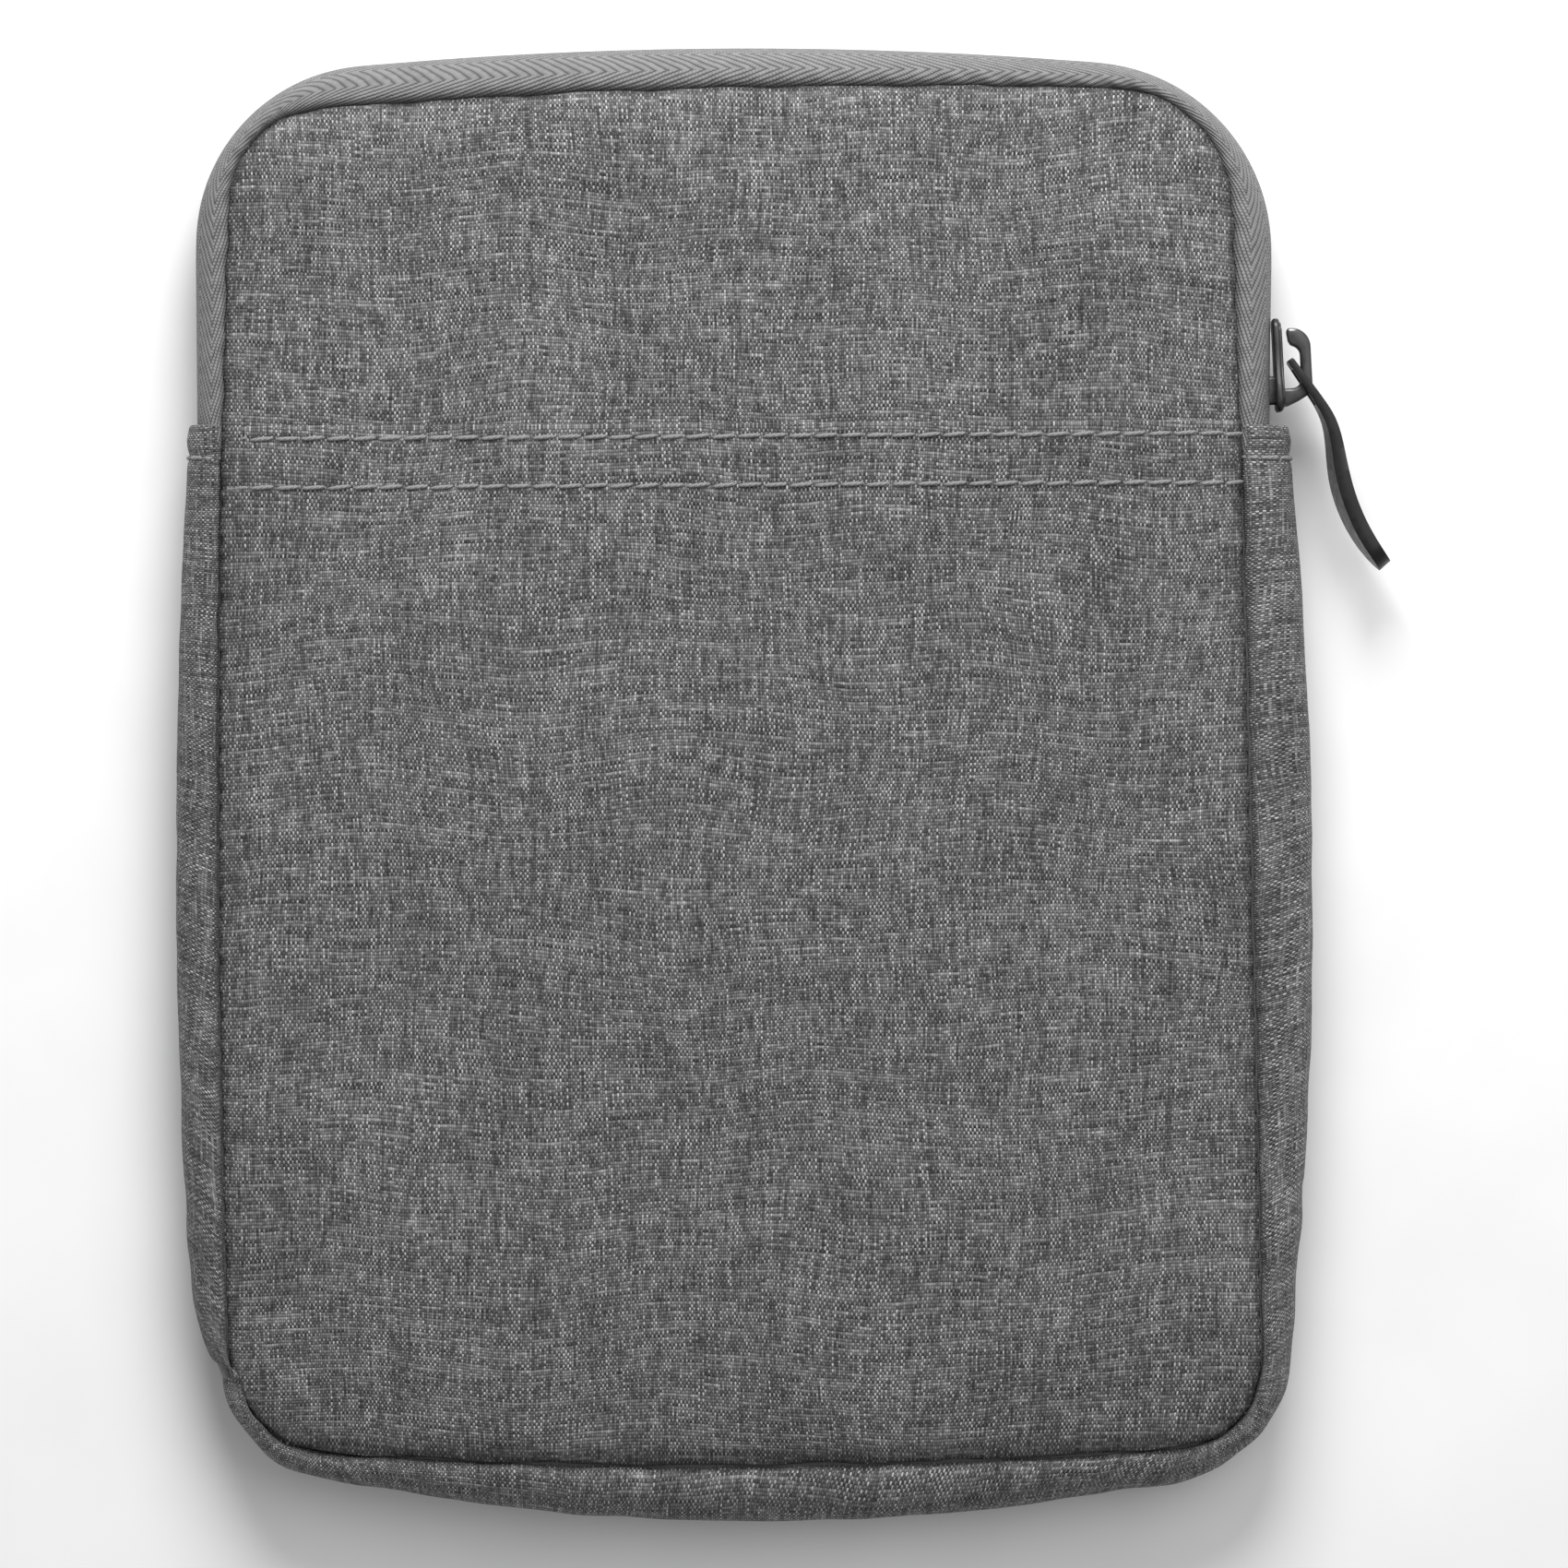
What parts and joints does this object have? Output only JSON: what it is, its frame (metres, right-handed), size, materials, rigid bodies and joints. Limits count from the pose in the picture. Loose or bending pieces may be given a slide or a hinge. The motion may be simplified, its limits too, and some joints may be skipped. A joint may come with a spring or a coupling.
{
  "type": "tablet sleeve",
  "caption": "Padded fabric sleeve for a small tablet, closed by a zip round one end, with a slip pocket on the front.",
  "frame": {"origin": "middle of the flat back face that the sleeve rests on", "axes": "+X towards the side where the zip slider parks, +Y towards the zipped end, +Z out of the front face with the pocket"},
  "size_m": [0.1706, 0.208, 0.0196],
  "materials": {
    "melange_fabric": "plain weave, grey melange, matt",
    "padding_foam": "closed-cell foam sheet",
    "lining_cloth": "brushed soft lining",
    "binding_tape": "woven polyester binding",
    "zip_tape": "herringbone polyester tape",
    "zip_coil": "satin nylon coil",
    "sewing_thread": "twisted polyester thread",
    "dark_metal": "gunmetal plating, satin"
  },
  "bodies": {
    "shell": {"back_panel": "melange_fabric", "back_padding": "padding_foam", "back_lining": "lining_cloth", "back_seam_binding": "binding_tape", "front_panel": "melange_fabric", "front_padding": "padding_foam", "front_lining": "lining_cloth", "front_seam_binding": "binding_tape", "pocket_panel": "melange_fabric", "pocket_lining": "lining_cloth", "pocket_hem_stitching": "sewing_thread", "gusset_band": "melange_fabric", "gusset_lining": "lining_cloth", "zip_tape_back": "zip_tape", "zip_coil_back": "zip_coil", "zip_tape_front": "zip_tape", "zip_coil_front": "zip_coil"},
    "flap": {"flap_panel": "melange_fabric", "flap_padding": "padding_foam", "flap_lining": "lining_cloth", "flap_seam_binding": "binding_tape", "flap_zip_tape": "zip_tape", "flap_zip_coil": "zip_coil"},
    "slider": {"zip_slider": "dark_metal"},
    "puller": {"zip_puller": "dark_metal"}
  },
  "joints": [
    {"name": "flap_open", "type": "hinge", "parent": "shell", "child": "flap", "pos_m": [0, 0.067, 0.018], "axis": [1, 0, 0], "range_deg": [0, 70]},
    {"name": "zip_slide", "type": "slide", "parent": "shell", "child": "slider", "axis": [0, 1, 0], "range_m": [0, 0.012]},
    {"name": "puller_swing", "type": "hinge", "parent": "slider", "child": "puller", "pos_m": [0.07689, 0.05926, 0.009], "axis": [0, 0, 1], "range_deg": [-12, 110]}
  ]
}
